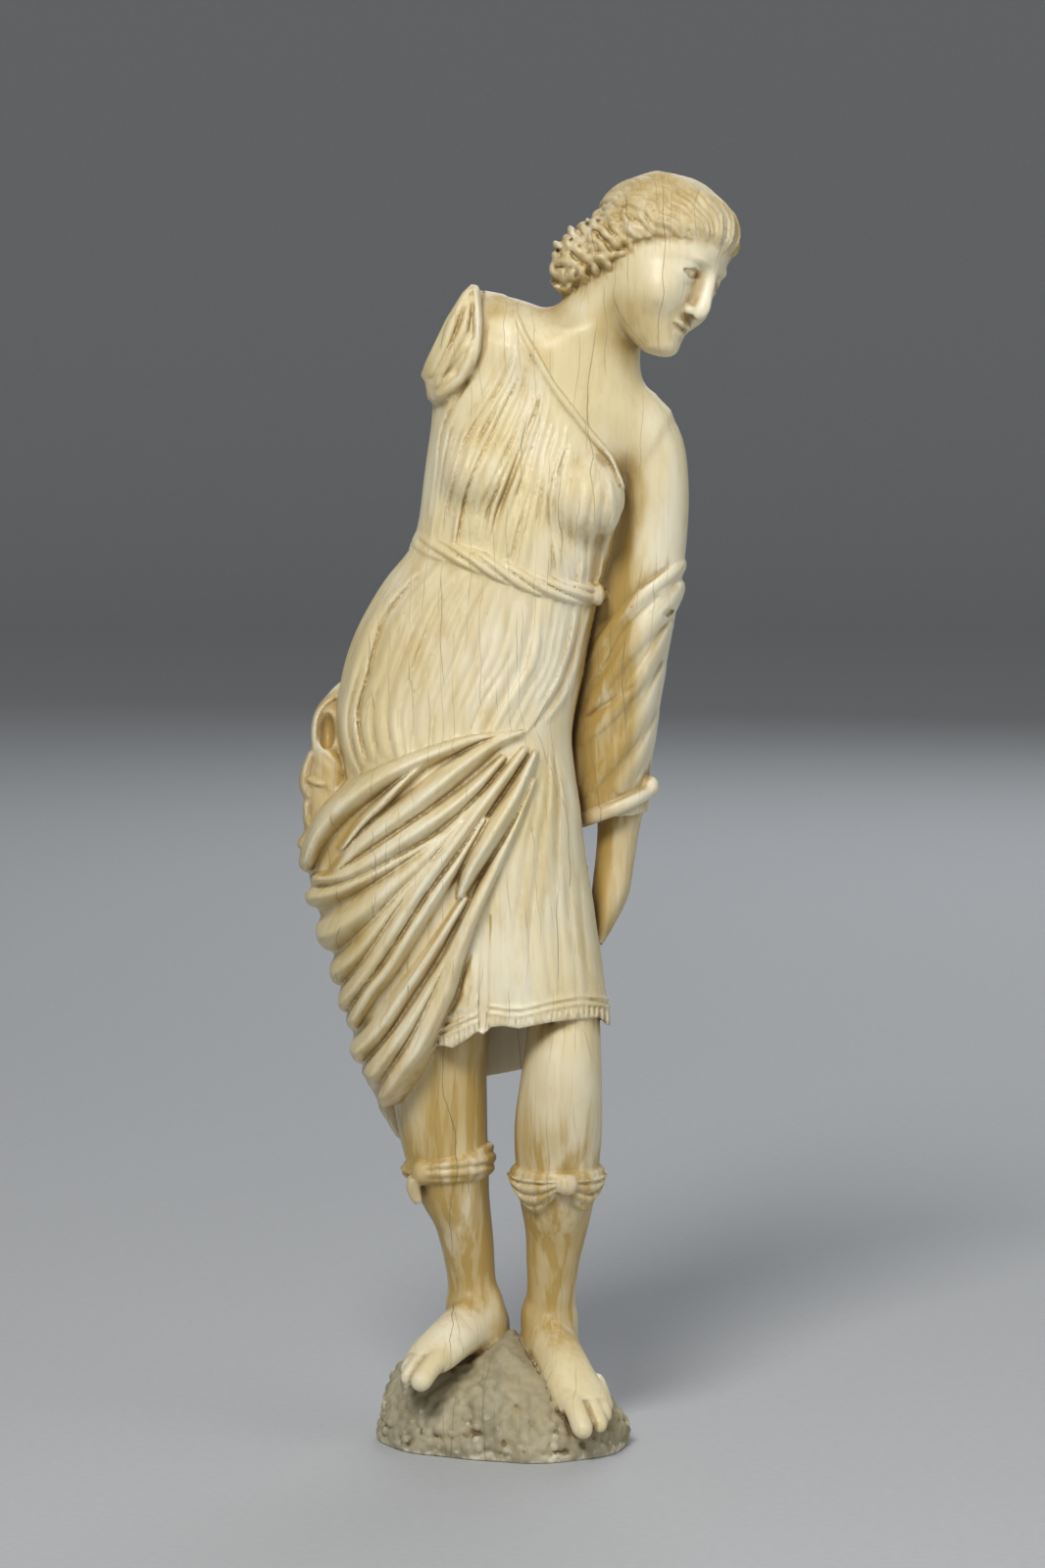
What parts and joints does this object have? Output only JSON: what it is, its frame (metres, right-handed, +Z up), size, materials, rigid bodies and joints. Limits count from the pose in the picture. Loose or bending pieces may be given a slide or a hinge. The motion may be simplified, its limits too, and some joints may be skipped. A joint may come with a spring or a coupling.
{
  "type": "carved ivory statuette of a standing huntress",
  "caption": "Carved ivory figure of a young huntress in a girdled tunic with a knotted mantle, one arm missing, standing on a small rocky mound.",
  "frame": {"origin": "on the flat underside, at the middle of the mound's foot", "axes": "+Z up, -Y the way the chest faces, +X the figure's own left"},
  "size_m": [0.1033, 0.0529, 0.2994],
  "materials": {
    "ivory": "satin"
  },
  "bodies": {
    "root": {"figure": "ivory"}
  },
  "joints": []
}
